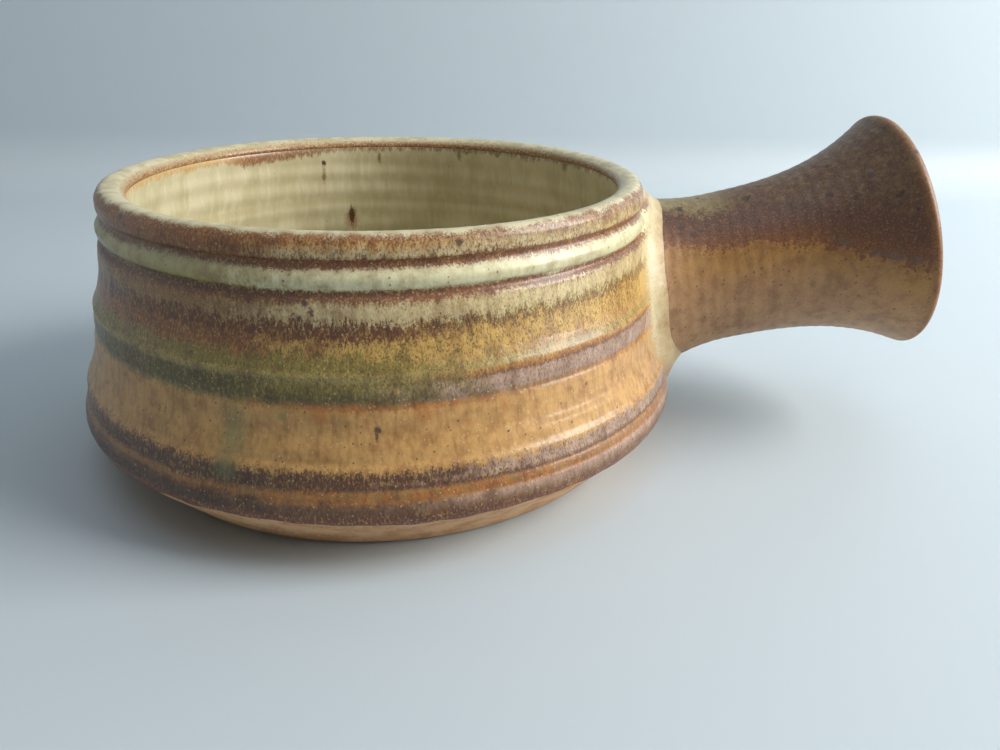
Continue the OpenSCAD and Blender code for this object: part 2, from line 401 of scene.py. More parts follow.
def coat_relief(s, around):
    """How far the glaze stands out from the outline: forms, throwing lines, runs and waviness."""
    z = on_outline(s, 0)[1]
    out = 0.12 * mm * ripple(around, z, 11, 5, 0.03)
    drift = 0.25 * mm * ripple(around, z, 12, 4, 0.01)
    for height, half, amount in fine_forms:
        out = out + amount * mm * bump_at(z + drift, height * mm, half * mm)
    lines = np.sin(2 * math.pi * z / (1.35 * mm) + around + 1.5 * ripple(around, z, 13, 3, 0.04))
    out = out + 0.025 * mm * lines * (0.6 + 0.4 * ripple(around, z, 14, 6, 0.05))
    runs = ripple(around, 0.15 * z, 15, 150, 0.08, 60)
    return out + 0.022 * mm * runs


around = angles(624)
wave = 0.35 * mm * ripple(around, 0 * around, 21, 9, 0) + 0.16 * mm * ripple(around, 0 * around, 22, 60, 0)
edge_fade = np.exp(-(((coat_s - glaze_line) / (1.6 * mm)) ** 2))[:, None]
s = coat_s[:, None] + edge_fade * wave
bead = np.array([-0.50, -0.34, -0.16, -0.05]) * mm
proud = np.full(len(coat_s), -0.06 * mm)
proud[:4] = bead
proud[-6:] -= np.array([0, 0.01, 0.03, 0.06, 0.12, 0.22]) * mm
s[:4] = s[4:5] + np.array([-0.34, -0.30, -0.22, -0.1])[:, None] * mm
end_calm = np.clip((lip_inside - coat_s) / (3 * mm), 0, 1)[:, None]
coat_front = spun(s, proud[:, None] + end_calm * coat_relief(s, around), around)
back_s = np.linspace(lip_inside - 0.5 * mm, glaze_line + 0.8 * mm, 40)[:, None]
coat_back = spun(back_s, np.full((40, 1), -glaze_deep - 0.2 * mm), around)
coat_rings = np.concatenate([coat_front, coat_back])
coat_seen = np.arange(len(coat_rings)) < len(coat_front) - 1
outside_glaze = turned_mesh("outside_glaze", coat_rings, "loop", coat_seen, 3)


tan = paint(204, 157, 94)
cream = paint(214, 194, 148)
pale = paint(222, 216, 176)
rust = paint(148, 90, 44)
groove_rust = paint(126, 70, 36)
brown = paint(116, 68, 32)
ochre = paint(205, 166, 90)
olive = paint(140, 124, 58)
dark_olive = paint(98, 88, 30)
crest_olive = paint(166, 150, 88)
orange = paint(178, 112, 50)
# A pale purple-grey: the plum-brown glaze of the right side with a painted highlight on it.
lavender_and_highlight = paint(180, 150, 134)
plum = paint(108, 66, 40)
umber = paint(80, 48, 24)
grey_plum = paint(126, 92, 62)
foot_rust = paint(122, 64, 34)

# The bands on the left side, darker all through: the glaze's own greens and browns, with painted shade on the
# side turned away from the window.
left_look_and_shade = [
    (12.4, foot_rust), (12.9, umber), (14.9, umber), (15.4, brown), (16.2, orange),
    (16.9, plum), (17.4, umber), (20.0, plum), (21.0, tan), (30.2, tan), (30.7, crest_olive),
    (31.4, dark_olive), (34.8, dark_olive), (35.4, crest_olive), (36.0, crest_olive), (36.6, olive),
    (38.6, olive), (39.2, rust), (41.4, rust), (42.2, brown), (44.2, brown), (45.0, paint(160, 128, 84)),
    (46.8, paint(150, 108, 66)), (47.6, brown), (49.0, umber), (49.5, crest_olive),
    (52.4, paint(196, 186, 140)),
    (53.0, brown), (54.3, brown), (55.0, rust), (57.6, rust),
]
front_look = [
    (12.5, foot_rust), (13.0, plum), (14.9, grey_plum), (15.4, orange), (16.6, orange),
    (17.2, plum), (19.6, plum), (20.4, tan), (30.1, tan), (30.5, orange), (31.1, orange),
    (31.6, dark_olive), (34.7, olive), (35.3, crest_olive), (36.1, crest_olive), (36.6, olive),
    (38.8, olive), (39.6, ochre), (41.0, ochre), (41.6, brown), (43.8, brown), (44.6, cream),
    (46.9, cream), (47.8, groove_rust), (49.0, brown), (49.5, pale), (52.4, pale), (52.9, groove_rust),
    (54.3, groove_rust), (54.9, cream), (56.6, tan), (57.4, rust),
]
# The bands on the right side, where the window falls: the glaze's own colours, with painted highlights in the
# pale purple-grey bands.
right_look_and_highlight = [
    (12.2, foot_rust), (12.9, grey_plum), (14.9, lavender_and_highlight), (15.4, orange), (16.9, orange),
    (17.3, plum), (18.4, lavender_and_highlight), (19.8, lavender_and_highlight), (20.6, tan), (30.2, tan), (30.8, orange),
    (31.6, lavender_and_highlight), (34.3, lavender_and_highlight), (34.8, plum), (35.1, orange), (36.0, tan),
    (36.6, crest_olive), (38.4, tan), (39.4, ochre), (42.4, ochre), (43.2, brown),
    (44.2, crest_olive), (44.9, cream), (47.3, cream), (48.0, groove_rust), (49.1, groove_rust),
    (49.6, pale), (52.4, pale), (52.9, groove_rust), (54.1, groove_rust), (54.8, cream),
    (57.8, groove_rust),
]


def on_wall(turn, height, inner=False):
    """A point on the bowl's wall in millimetres, from its angle in degrees and its height."""
    r = on_outline(place_at(height * mm, inner), 0)[0] / mm
    return r * math.cos(math.radians(turn)), r * math.sin(math.radians(turn)), height


pits = [
    (-71, 56.5, 0.8, 0.9), (-65, 55.0, 0.45, 0.45), (-135, 57.0, 0.9, 0.7), (-96, 47.5, 0.6, 0.9),
    (-95, 46.0, 0.5, 1.0), (-97, 45.0, 0.5, 0.6), (-85.3, 26.9, 0.7, 0.7), (-85.5, 25.8, 0.35, 1.4),
    (-64.7, 24.3, 0.35, 0.3), (-59, 23.5, 0.3, 0.3), (-52.5, 22.7, 0.35, 0.35), (-48, 28.3, 0.3, 0.5),
    (-41, 21.5, 0.3, 0.3), (120, 26, 0.6, 0.7), (160, 47, 0.7, 0.8), (75, 29, 0.4, 0.4), (45, 55, 0.6, 0.6),
]
stains = [
    (-94, 29.3, 2.6, 2.0), (-78, 29.0, 2.4, 2.2), (-71, 27.0, 0.8, 1.3), (-82, 25.5, 0.5, 0.8),
    (-81, 27.2, 0.6, 1.0), (-87, 28.0, 1.0, 1.6), (-65, 28.8, 1.0, 1.5), (140, 28, 2.0, 2.6),
]
copper = [(-108, 25.5, 3.4, 8.5), (-109, 20.0, 3.0, 4.0), (-100, 29.0, 1.4, 1.4), (170, 24, 4.0, 7.0)]


def coat_finish():
    f = Finish("outside_glaze")
    x, y, z = f.split(f.place)
    turn = f.sum("MULTIPLY", f.sum("ARCTAN2", y, x), 180 / math.pi)
    streak = f.cloud(1.0, stretch=4.5, detail=2)
    fine_streak = f.cloud(0.42, stretch=3.2, detail=2, harsh=0.6, shift=3)
    grain = f.cloud(0.3, detail=2, harsh=0.65)
    blotch = f.cloud(3.5, detail=3, harsh=0.6, shift=5)
    drift = f.cloud(16, detail=1, shift=9)
    ragged = f.curve(z, 0, 60, [
        (10, 0.5), (12.4, 0.3), (15.4, 0.16), (17.2, 0.16), (19.6, 0.9), (21, 0.8), (24, 0.3),
        (30, 0.25), (31.4, 0.35), (34.6, 0.25), (36, 0.2), (38.4, 1), (41.5, 1), (45, 1),
        (46.5, 0.6), (48, 0.3), (49.2, 0.22), (52, 0.2), (53.6, 0.25), (54.6, 0.4), (56, 0.9), (58, 0.3),
    ])
    sway = f.sum("ADD", f.swing(streak, 1.2), f.swing(fine_streak, 1.1))
    sway = f.sum("MULTIPLY", f.sum("ADD", sway, f.swing(grain, 0.7)), ragged)
    sway = f.sum("ADD", sway, f.sum("ADD", f.swing(drift, 0.3), f.swing(grain, 0.22)))
    height = f.sum("ADD", z, sway)
    where = f.sum("ADD", f.sum("ADD", turn, f.swing(blotch, 9)), f.swing(fine_streak, 7))
    looks = [f.ramp(height, 0, 60, look) for look in (left_look_and_shade, front_look, right_look_and_highlight)]
    # Round the front, the left bands with their painted shade turn into the right bands with their painted
    # highlights. At the back the two are mixed in patches.
    colour = f.blend(f.ease(where, -112, -92), looks[0], looks[1])
    colour = f.blend(f.ease(where, -86, -62), colour, looks[2])
    back = f.blend(f.ease(f.cloud(26, detail=2, shift=20), 0.4, 0.6), looks[0], looks[2])
    colour = f.blend(f.ease(where, 5, 60), colour, back)
    # Broken colour: cream and ochre show through the browns in fine upright flecks, and rust and
    # brown flecks lie over the creams
    browns = f.curve(z, 0, 60, [
        (10, 0.9), (12.6, 0.7), (13.4, 0.25), (15.2, 0.35), (17.4, 0.7), (20.2, 0.75), (21.5, 0.05),
        (30, 0.1), (31.5, 0.55), (38, 0.7), (41, 0.8), (44, 0.8), (45.5, 0.35), (47, 0.5), (48.8, 0.7),
        (49.6, 0.1), (52.6, 0.15), (53.4, 0.7), (54.6, 0.7), (57.5, 0.8), (58.2, 0.2),
    ])
    light_fleck = f.ease(f.cloud(0.36, stretch=2.4, detail=2, shift=15), 0.52, 0.62)
    light_fleck = f.sum("MULTIPLY", light_fleck, browns)
    colour = f.blend(f.sum("MULTIPLY", light_fleck, 0.62), colour, ochre)
    dark_fleck = f.sum("MULTIPLY", f.ease(f.cloud(0.3, stretch=2.0, detail=2, shift=31), 0.53, 0.6), browns)
    colour = f.blend(f.sum("MULTIPLY", dark_fleck, 0.75), colour, umber)
    patchy = f.ease(f.cloud(2.2, stretch=0.5, detail=3, harsh=0.6, shift=51), 0.42, 0.6)
    thin_lines = f.curve(z, 0, 60, [
        (15, 0), (15.8, 0.8), (16.8, 0.8), (17.5, 0), (30, 0), (30.5, 0.7), (31.3, 0.7), (31.8, 0),
    ])
    colour = f.blend(f.sum("MULTIPLY", patchy, thin_lines), colour, paint(150, 116, 66))
    mottle = f.ramp(blotch, 0, 1, [
        (0.34, paint(216, 206, 198)), (0.5, paint(246, 244, 240)), (0.62, paint(255, 255, 255)),
    ])
    colour = f.blend(1.0, colour, mottle, "MULTIPLY")
    wash = f.ramp(f.cloud(0.9, stretch=7, detail=2, shift=44), 0, 1, [
        (0.36, paint(214, 206, 196)), (0.5, paint(245, 243, 240)), (0.62, paint(255, 255, 255)),
    ])
    wash_share = f.sum("SUBTRACT", 0.7, f.sum("MULTIPLY", f.ease(z, 47, 50), 0.45))
    colour = f.blend(wash_share, colour, wash, "MULTIPLY")
    # The crest of the lip stays pale, between a speckled outer edge and a brown inner one
    r = f.sum("SQRT", f.sum("MULTIPLY_ADD", x, x, f.sum("MULTIPLY", y, y)))
    frayed_r = f.sum("ADD", f.sum("ADD", r, f.swing(grain, 0.45)), f.swing(blotch, 0.5))
    on_top = f.ease(z, 56.7, 57.5)
    crest_pale = f.sum("MULTIPLY", on_top, f.sum("SUBTRACT", 1.0, f.ease(frayed_r, 55.5, 56.3)))
    crest_colour = f.blend(f.ease(blotch, 0.42, 0.6), paint(216, 206, 168), paint(190, 178, 138))
    colour = f.blend(f.sum("MULTIPLY", crest_pale, 0.92), colour, crest_colour)
    inner_edge = f.sum("MULTIPLY", on_top, f.sum("SUBTRACT", 1.0, f.ease(frayed_r, 51.7, 52.5)))
    inner_edge = f.sum("MAXIMUM", inner_edge, f.sum("SUBTRACT", 1.0, f.ease(frayed_r, 51.3, 51.9)))
    edge_wear = f.ease(f.cloud(0.5, detail=3, harsh=0.65, shift=71), 0.46, 0.62)
    edge_colour = f.blend(edge_wear, paint(134, 88, 50), paint(196, 170, 118))
    colour = f.blend(f.sum("MULTIPLY", inner_edge, 0.75), colour, edge_colour)
    # Marks at their own places
    torn = f.sum("ADD", f.swing(grain, 0.35), f.swing(fine_streak, 0.3))
    spots = {name: [(on_wall(a, h), w, e) for a, h, w, e in places]
             for name, places in (("pits", pits), ("stains", stains), ("copper", copper))}
    green = f.sum("MULTIPLY", f.dabs(spots["copper"], torn, 0.9), 0.6)
    colour = f.blend(green, colour, paint(120, 122, 76))
    colour = f.blend(f.sum("MULTIPLY", f.dabs(spots["stains"], torn, 0.9), 0.6), colour, orange)
    colour = f.blend(f.sum("MULTIPLY", f.dabs(spots["pits"], torn, 0.6), 0.85), colour, paint(66, 38, 24))
    crystals = f.sum("MULTIPLY", f.specks(0.8, 0.0, 0.3, shift=2), 0.45)
    colour = f.blend(crystals, colour, cream)
    dark = f.sum("MULTIPLY", f.specks(1.3, 0.0, 0.22, shift=7), 0.7)
    colour = f.blend(dark, colour, umber)
    lumps = f.sum("ADD", f.cloud(0.7, detail=2, shift=12), f.sum("MULTIPLY", streak, 0.8))
    normal = f.relief(lumps, 0.06 * mm)
    rough = f.sum("MULTIPLY_ADD", grain, 0.3, 0.27)
    return f.done(colour, rough, normal, coat=0.22)


outside_glaze.data.materials.append(coat_finish())
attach(outside_glaze, "root")
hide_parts("bowl")

# The liner: a paler glaze poured inside before the outside was dipped. It covers the wall below
# the lip and the floor, follows the spiral left by the thrower's fingers, and pools in the middle.
liner_s = np.arange(lip_inside - 0.9 * mm, along[-1], 0.55 * mm)
liner_s[-1] = along[-1]


def liner_relief(s, around):
    r, z = on_outline(s, 0)
    floor_share = np.clip((16 * mm - z) / (8 * mm), 0, 1)
    wall_rings = np.sin(2 * math.pi * z / (5.2 * mm) - around + ripple(around, z, 31, 3, 0.03))
    spiral = np.sin(2 * math.pi * r / (7 * mm) - around)
    middle = np.clip(r / (6 * mm), 0, 1)
    out = 0.16 * mm * (1 - floor_share) * wall_rings + 0.22 * mm * floor_share * spiral * middle
    return out + 0.10 * mm * ripple(around, z, 32, 5, 0.03) * middle - 0.1 * mm


around = angles(480)
liner_proud = np.full((len(liner_s), 1), 0.0)
liner_proud[:3, 0] = np.array([-0.40, -0.22, -0.08]) * mm
start_fade = np.clip((liner_s - liner_s[0] - 1 * mm) / (5 * mm), 0, 1)[:, None]
liner_lift = liner_proud - 0.06 * mm + start_fade * liner_relief(liner_s[:, None], around)
liner_front = spun(liner_s[:, None], liner_lift, around)
liner_back_s = np.linspace(along[-1], liner_s[0], 30)[:, None]
liner_back = spun(liner_back_s, np.full((30, 1), -glaze_deep - 0.25 * mm), around)
back_top = liner_back[-1:]
liner_rings = np.concatenate([liner_front[::-1], back_top, liner_back[::-1][1:]])
liner_seen = np.arange(len(liner_rings) - 1) < len(liner_front) - 1
liner_glaze = turned_mesh("liner_glaze", liner_rings[::-1], "points", liner_seen[::-1], 2)


def liner_finish():
    f = Finish("liner_glaze")
    x, y, z = f.split(f.place)
    turn = f.sum("MULTIPLY", f.sum("ARCTAN2", y, x), 180 / math.pi)
    streak = f.cloud(1.3, stretch=9, detail=2)
    broad = f.cloud(5, stretch=2.5, detail=3, shift=4)
    grain = f.cloud(0.4, stretch=2, detail=2, harsh=0.6)
    colour = f.blend(f.ease(broad, 0.36, 0.64), paint(192, 182, 146), paint(208, 198, 166))
    colour = f.blend(f.sum("MULTIPLY", f.ease(streak, 0.45, 0.72), 0.3), colour, paint(226, 220, 192))
    # A faint darker band at 41 mm: the painted shade of a throwing ring.
    ring = f.sum("SUBTRACT", 1.0, f.ease(f.sum("ABSOLUTE", f.sum("SUBTRACT", z, 41)), 0.2, 1.4))
    colour = f.blend(f.sum("MULTIPLY", ring, 0.25), colour, paint(170, 150, 100))
    # The outside glaze laps over the lip and runs down a little way, more in some places
    deep = f.curve(turn, -180, 180, [
        (-180, 0.34), (-120, 0.2), (-20, 0.14), (20, 0.22), (60, 0.3), (110, 0.3), (124, 0.5),
        (139, 0.55), (146, 0.36), (180, 0.34),
    ])
    tear = f.sum("ADD", f.swing(streak, 0.9), f.swing(grain, 0.5))
    below = f.sum("SUBTRACT", f.sum("SUBTRACT", 57.6, z), f.sum("MULTIPLY_ADD", deep, 8, tear))
    lapped = f.sum("SUBTRACT", 1.0, f.ease(below, -0.6, 0.7))
    lap_colour = f.ramp(turn, -180, 180, [
        (-180, paint(186, 146, 88)), (-60, paint(150, 100, 58)), (40, paint(112, 80, 46)),
        (110, paint(118, 82, 48)), (126, paint(124, 64, 36)), (138, paint(134, 74, 42)),
        (146, paint(186, 144, 84)), (180, paint(186, 146, 88)),
    ])
    flecks = f.ease(f.cloud(0.5, stretch=2, detail=3, harsh=0.65, shift=17), 0.5, 0.64)
    lap_colour = f.blend(f.sum("MULTIPLY", flecks, 0.5), lap_colour, paint(206, 182, 132))
    colour = f.blend(f.sum("MULTIPLY", lapped, 0.85), colour, lap_colour)
    torn = f.sum("ADD", f.swing(grain, 0.3), f.swing(streak, 0.25))
    drips = [
        (114, 48.5, 0.8, 4.6), (97, 52.5, 0.6, 3.2), (72, 54.2, 0.8, 2.2), (33, 54.8, 1.6, 1.8),
        (-50, 53, 0.8, 3.5),
    ]
    faint = f.dabs([(on_wall(a, h, True), w, e) for a, h, w, e in drips], torn, 0.8)
    colour = f.blend(f.sum("MULTIPLY", faint, 0.75), colour, paint(112, 80, 42))
    rusty = f.dabs([(on_wall(106, 35.4, True), 2.4, 4.6)], torn, 0.9)
    colour = f.blend(f.sum("MULTIPLY", rusty, 0.8), colour, paint(150, 86, 36))
    strong = f.dabs([(on_wall(106, 36.6, True), 1.1, 3.6), (on_wall(114, 52.0, True), 0.8, 1.0)], torn, 0.6)
    colour = f.blend(f.sum("MULTIPLY", strong, 0.92), colour, paint(62, 34, 20))
    colour = f.blend(f.sum("MULTIPLY", f.specks(2.2, 0.0, 0.12), 0.55), colour, paint(130, 104, 62))
    return f.done(colour, 0.36, f.relief(f.cloud(0.8, detail=2), 0.04 * mm), coat=0.3)


liner_glaze.data.materials.append(liner_finish())
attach(liner_glaze, "root")
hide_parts("bowl")

# The handle: thrown by itself as a hollow trumpet, cut to a saddle and luted to the wall. Its clay
# shows inside the bore. The glaze covers the outside and rolls over the flared end into the bore.
rise = math.radians(12.9)
root_height = 33.8 * mm
handle_skin = skin_of("handle")
axis = np.array([math.cos(rise), 0, math.sin(rise)])
upward = np.array([-math.sin(rise), 0, math.cos(rise)])
sideways = np.array([0.0, 1.0, 0.0])
root_point = np.array([on_outline(place_at(root_height), 0)[0], 0, root_height])


def from_axis(x, inner):
    """Radius of the handle at x along its axis: outside, or of the bore."""
    found = []
    for turn in np.radians((3, 177, 183, 357)):
        out = Vector(sideways * math.cos(turn) + upward * math.sin(turn))
        middle = Vector(root_point + axis * x)
        if inner:
            hit = handle_skin.ray_cast(middle, out)
        else:
            hit = handle_skin.ray_cast(middle + out * 0.08, -out)
        if hit[3] is not None:
            found.append(hit[3] if inner else 0.08 - hit[3])
    return max(found) if found else None


handle_end = max(v.co.dot(Vector(axis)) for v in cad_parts["handle"].data.vertices) - root_point @ axis
end_round = 1.9 * mm
handle_x = np.arange(-2.6 * mm, handle_end - end_round, 0.5 * mm)
handle_outer = [(x, r) for x in handle_x for r in [from_axis(x, False)] if r]
handle_inner = [(x, r) for x in handle_x for r in [from_axis(x, True)] if r]
flare_r, bore_r = handle_outer[-1][1], handle_inner[-1][1]
end_at = handle_end - end_round
end_turn = np.radians(np.arange(5, 90, 8))
roll_out = [(end_at + end_round * math.sin(a), flare_r - end_round * (1 - math.cos(a))) for a in end_turn]
roll_in = [(end_at + end_round * math.cos(a), bore_r + end_round * (1 - math.sin(a))) for a in end_turn]
handle_line = np.array(handle_outer + roll_out + roll_in + handle_inner[::-1])
handle_along, handle_line = even_line(handle_line, line_step, 0.35 * mm)
handle_slope = np.gradient(handle_line, handle_along, axis=0)
handle_slope /= np.hypot(*handle_slope.T)[:, None]
handle_tip = int(handle_line[:, 0].argmax())


wall_r, wall_z = outline[400:crest].T
bell = np.exp(-0.5 * (np.arange(-60, 61) / 20) ** 2)
smoothed_r = np.convolve(np.pad(wall_r, 60, "edge"), bell / bell.sum(), "valid")


def wall_reach(r, turn, wall_r=wall_r):
    """Where, along the handle, a line at radius r from its axis meets the bowl's wall."""
    x = np.zeros(np.broadcast(r, turn).shape)
    for _ in range(12):
        side = r * np.cos(turn)
        out = root_point[0] + x * axis[0] + r * np.sin(turn) * upward[0]
        z = root_point[2] + x * axis[2] + r * np.sin(turn) * upward[2]
        wall = np.interp(z, wall_z, wall_r)
        x = x + wall - np.hypot(side, out)
    return x


def round_handle(x, r, turn):
    """Points at x along the handle, r from its axis and turned from +Y towards the top."""
    return (
        root_point
        + x[..., None] * axis
        + (r * np.cos(turn))[..., None] * sideways
        + (r * np.sin(turn))[..., None] * upward
    )


def on_handle(s, proud):
    x, r = (np.interp(s, handle_along, handle_line[:, k]) for k in range(2))
    dx, dr = (np.interp(s, handle_along, handle_slope[:, k]) for k in range(2))
    return x - proud * dr, r + proud * dx


def outer_at(x):
    """Radius of the handle's outside at x. Past the root it goes on widening at the same slope."""
    r = np.interp(x, handle_line[:handle_tip, 0], handle_line[:handle_tip, 1])
    return r + np.maximum(handle_line[0, 0] - x, 0) * 0.3


def handle_rings(s, proud, turn):
    """Rings along the handle's outline. Near the wall they bend to follow the saddle."""
    x, r = on_handle(s, proud)
    x, r, turn = np.broadcast_arrays(x, r, turn)
    start = wall_reach(r, turn) - 0.8 * mm
    first = handle_line[0, 0]
    pull = np.clip((handle_end - 4 * mm - x) / (handle_end - 4 * mm - first), 0, 1)
    bent = x + pull * (start - first)
    return round_handle(bent, r + outer_at(bent) - outer_at(x), turn)


jacket_turn = np.linspace(0, 2 * math.pi, 280, endpoint=False)[None, :]
bore_lap = handle_along[handle_tip] + 6.5 * mm
jacket_s = np.arange(0, bore_lap, 0.4 * mm)[:, None]
jacket_wobble = 0.14 * mm * ripple(jacket_turn, jacket_s, 41, 3, 0.02) + 0.03 * mm * np.sin(
    2 * math.pi * jacket_s / (2.6 * mm) + jacket_turn
)
lap_wave = 0.8 * mm * ripple(jacket_turn, 0 * jacket_turn, 42, 8, 0)
lap = np.clip((jacket_s - bore_lap + 4 * mm) / (4 * mm), 0, 1)
lap_proud = np.interp(jacket_s, [0, bore_lap - 0.9 * mm, bore_lap], [0, 0, -0.6 * mm])
jacket_front = handle_rings(jacket_s + lap * lap_wave, lap_proud - 0.15 * mm + jacket_wobble, jacket_turn)
jacket_back_s = np.linspace(bore_lap - 1 * mm, 0, 30)[:, None]
jacket_back = handle_rings(jacket_back_s, np.full((30, 1), -0.9 * mm), jacket_turn)
jacket_rings = np.concatenate([jacket_front, jacket_back])
jacket_seen = np.arange(len(jacket_rings)) < len(jacket_front) - 1
handle_glaze = turned_mesh("handle_glaze", jacket_rings, "loop", jacket_seen, 2)

core_turn = np.linspace(0, 2 * math.pi, 200, endpoint=False)[None, :]
under_lap = np.linspace(0, bore_lap - 1.5 * mm, 24)
past_lap = np.arange(bore_lap - 1.2 * mm, handle_along[-1], 0.7 * mm)
core_s = np.concatenate([under_lap, past_lap])
core_marks = [0, bore_lap - 1.5 * mm, bore_lap - 0.8 * mm]
core_sunk = np.interp(core_s, core_marks, [-0.6 * mm, -0.6 * mm, -0.25 * mm])
core_wobble = 0.10 * mm * ripple(core_turn, core_s[:, None], 45, 3, 0.02) + 0.08 * mm * np.sin(
    2 * math.pi * core_s[:, None] / (4.5 * mm) + core_turn
)
core_rings = handle_rings(core_s[:, None], core_sunk[:, None] + core_wobble, core_turn)
core_seen = np.arange(len(core_s)) >= 23
handle_core = turned_mesh("handle_core", core_rings, "loop", core_seen, 2)


def on_grip(along_it, turn):
    """A point on the handle's outside in millimetres, from its distance and angle in degrees."""
    start = np.array(along_it * mm)
    r = np.interp(start, handle_line[:handle_tip, 0], handle_line[:handle_tip, 1])
    return tuple(round_handle(start, r, np.radians(turn)) / mm)


grip_spots = [
    (8, 108, 1.1), (22.5, 110, 1.2), (7, 128, 1.0), (6.5, 133, 0.8), (9, 135, 1.0), (11, 133, 0.8),
    (38, 130, 0.9), (42, 138, 0.8), (46, 128, 1.0), (49, 145, 0.8), (30, 60, 1.2), (44, 50, 1.0),
]
pink_spots = [(37, 208, 4.0), (21, 222, 4.5), (46, 216, 2.4), (12, 300, 5.0), (34, 330, 5.0)]
slate_spots = [(38, 163, 2.0), (44, 173, 2.2), (47, 176, 2.4), (50, 178, 2.0), (30, 20, 3.0)]


def handle_finish():
    f = Finish("handle_glaze")
    blotch = f.cloud(3.2, detail=3, harsh=0.6)
    grain = f.cloud(0.34, detail=2, harsh=0.65, shift=6)
    fine = f.cloud(0.9, stretch=1.6, detail=2, harsh=0.6, shift=8)
    reach = f.vector("SUBTRACT", f.place, tuple(root_point / mm))
    x = f.vector("DOT_PRODUCT", reach, tuple(axis))
    up = f.vector("DOT_PRODUCT", reach, tuple(upward))
    side = f.vector("DOT_PRODUCT", reach, tuple(sideways))
    turn = f.sum("MULTIPLY", f.sum("ARCTAN2", up, side), 180 / math.pi)
    turn = f.sum("MODULO", f.sum("ADD", turn, 360), 360)
    front_edge = f.sum("MULTIPLY", f.curve(x, 0, 60, [
        (2, 0.14), (14, 0.15), (24, 0.152), (32, 0.158), (36, 0.166), (43, 0.172), (50, 0.182),
    ]), 1000)
    # The brown lies over the top of the handle, from the front edge round to a like one behind
    before = f.sum("SUBTRACT", front_edge, turn)
    behind = f.sum("SUBTRACT", turn, f.sum("MULTIPLY_ADD", front_edge, -0.8, 150))
    inside_brown = f.sum("MINIMUM", before, behind)
    tear = f.sum("ADD", f.swing(blotch, 6), f.sum("ADD", f.swing(grain, 5), f.swing(fine, 6)))
    depth = f.sum("ADD", inside_brown, tear)
    colour = f.ramp(depth, -60, 60, [
        (-42, paint(172, 132, 90)), (-24, paint(172, 130, 84)), (-10, paint(170, 126, 68)),
        (-1, paint(162, 116, 54)),
        (1, paint(128, 76, 36)), (12, paint(100, 60, 34)), (24, paint(84, 50, 30)), (48, paint(98, 66, 42)),
    ])
    near_root = f.sum("SUBTRACT", 1.0, f.ease(f.sum("ADD", x, f.swing(blotch, 4)), 14, 22))
    crown = f.ease(f.sum("ADD", depth, 0), 26, 42)
    colour = f.blend(f.sum("MULTIPLY", near_root, crown), colour, paint(150, 138, 96))
    end_band = f.ease(f.sum("ADD", x, f.swing(grain, 0.8)), 52, 53.6)
    colour = f.blend(f.sum("MULTIPLY", end_band, 0.7), colour, paint(150, 98, 52))
    # Lighter grey-brown patches over the top of the handle: a painted sheen where the light from above falls.
    top_sheen = f.ease(f.cloud(1.6, detail=3, harsh=0.65, shift=61), 0.47, 0.6)
    top_sheen = f.sum("MULTIPLY", top_sheen, f.ease(depth, 22, 44))
    colour = f.blend(f.sum("MULTIPLY", top_sheen, 0.5), colour, paint(140, 116, 74))
    mottle = f.ramp(blotch, 0, 1, [
        (0.34, paint(214, 204, 198)), (0.5, paint(244, 240, 236)), (0.64, paint(255, 255, 255)),
    ])
    colour = f.blend(1.0, colour, mottle, "MULTIPLY")
    torn = f.sum("ADD", f.swing(grain, 0.35), f.swing(fine, 0.35))
    pink = f.dabs([(on_grip(d, a), w, w * 0.6) for d, a, w in pink_spots], torn, 0.95)
    colour = f.blend(f.sum("MULTIPLY", pink, 0.4), colour, paint(160, 110, 84))
    slate = f.dabs([(on_grip(d, a), w, w * 0.5) for d, a, w in slate_spots], torn, 0.9)
    colour = f.blend(f.sum("MULTIPLY", slate, 0.6), colour, paint(84, 78, 78))
    light_fleck = f.sum("MULTIPLY", f.ease(f.cloud(0.4, detail=2, shift=15), 0.54, 0.64), f.ease(depth, 0, 6))
    colour = f.blend(f.sum("MULTIPLY", light_fleck, 0.35), colour, paint(166, 120, 66))
    dark_fleck = f.ease(f.cloud(0.42, detail=2, shift=33), 0.56, 0.63)
    dark_share = f.sum("MULTIPLY_ADD", f.ease(depth, -8, 4), 0.5, 0.15)
    colour = f.blend(f.sum("MULTIPLY", dark_fleck, dark_share), colour, umber)
    spots = f.dabs([(on_grip(d, a), w, w * 0.8) for d, a, w in grip_spots], torn, 0.6)
    colour = f.blend(f.sum("MULTIPLY", spots, 0.85), colour, paint(52, 32, 22))
    colour = f.blend(f.sum("MULTIPLY", f.specks(1.5, 0.0, 0.26), 0.6), colour, umber)
    pepper = f.sum("MULTIPLY", f.specks(2.6, -0.25, 0.3, shift=5), f.ease(depth, 2, 10))
    colour = f.blend(f.sum("MULTIPLY", pepper, 0.9), colour, paint(40, 24, 16))
    rim_dots = f.sum("MULTIPLY", f.specks(0.9, -0.1, 0.38, shift=11), f.ease(x, 52.6, 53.6))
    colour = f.blend(f.sum("MULTIPLY", rim_dots, 0.75), colour, paint(92, 48, 24))
    normal = f.relief(f.sum("ADD", f.cloud(0.7, detail=2), f.sum("MULTIPLY", fine, 0.6)), 0.06 * mm)
    return f.done(colour, f.sum("MULTIPLY_ADD", grain, 0.3, 0.32), normal, coat=0.05)


handle_glaze.data.materials.append(handle_finish())
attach(handle_glaze, "root")
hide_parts("handle")
handle_core.data.materials.append(clay_body.data.materials[0])
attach(handle_core, "root")
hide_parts("handle")

